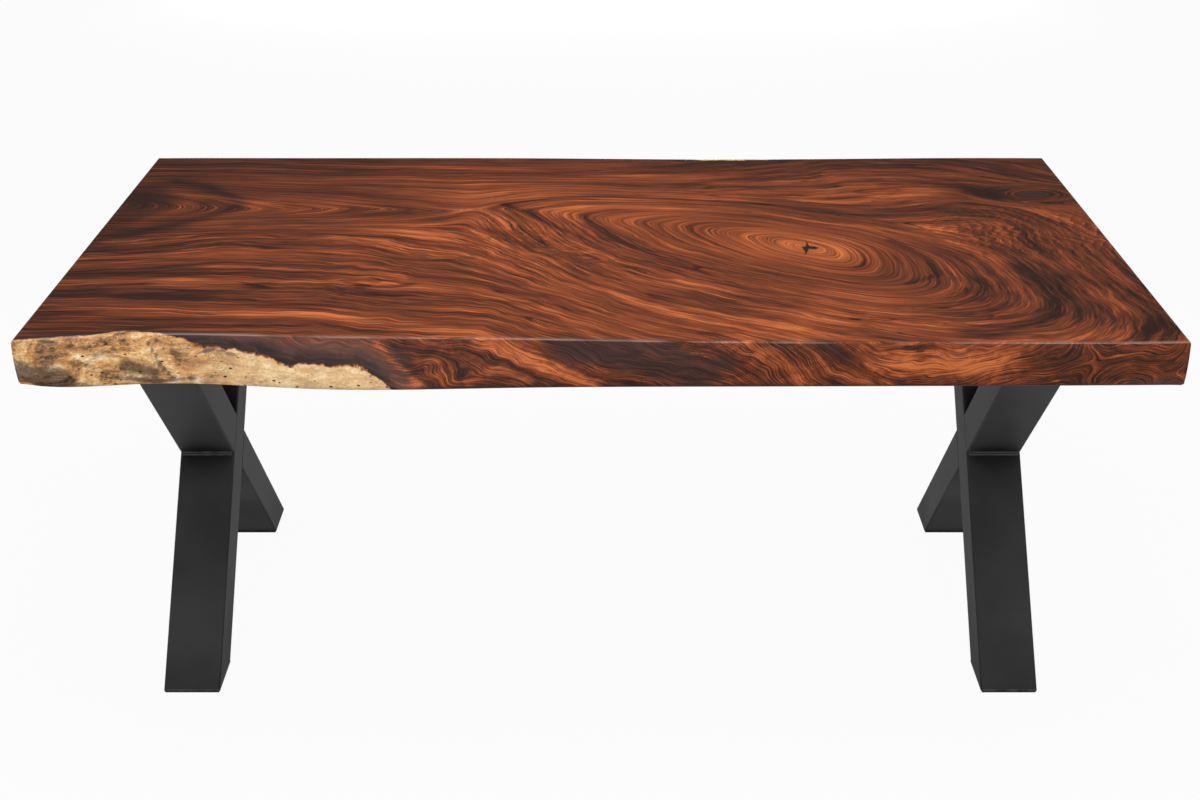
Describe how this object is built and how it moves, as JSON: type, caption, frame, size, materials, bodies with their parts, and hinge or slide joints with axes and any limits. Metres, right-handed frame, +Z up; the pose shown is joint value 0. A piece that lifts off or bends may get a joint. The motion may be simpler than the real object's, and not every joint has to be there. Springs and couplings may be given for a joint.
{
  "type": "live edge dining table",
  "caption": "Dining table with a thick live edge hardwood slab, straight sawn ends and a natural waney front and back, on welded black X frames of rectangular steel tube.",
  "frame": {"origin": "On the floor, under the middle of the slab's length and depth.", "axes": "+X along the slab and its grain to the right, -Y to the front edge, +Z up."},
  "size_m": [1.83, 0.9982, 0.762],
  "materials": {
    "lacquered_wood": "satin lacquer over red-brown figured hardwood",
    "dark_resin": "polished dark resin fill",
    "black_powder_coat": "satin black powder coat",
    "foot_rubber": "matt black rubber",
    "zinc_steel": "bright zinc plate"
  },
  "bodies": {
    "root": {"slab_top": "lacquered_wood", "pith_crack_fill": "dark_resin", "left_through_leg": "black_powder_coat", "left_upper_half_leg": "black_powder_coat", "left_lower_half_leg": "black_powder_coat", "left_top_plate": "black_powder_coat", "left_front_foot_plate": "black_powder_coat", "left_front_foot_pad": "foot_rubber", "left_rear_foot_plate": "black_powder_coat", "left_rear_foot_pad": "foot_rubber", "left_cross_welds": "black_powder_coat", "left_plate_welds": "black_powder_coat", "left_bolts": "zinc_steel", "right_through_leg": "black_powder_coat", "right_upper_half_leg": "black_powder_coat", "right_lower_half_leg": "black_powder_coat", "right_top_plate": "black_powder_coat", "right_front_foot_plate": "black_powder_coat", "right_front_foot_pad": "foot_rubber", "right_rear_foot_plate": "black_powder_coat", "right_rear_foot_pad": "foot_rubber", "right_cross_welds": "black_powder_coat", "right_plate_welds": "black_powder_coat", "right_bolts": "zinc_steel"}
  },
  "joints": []
}
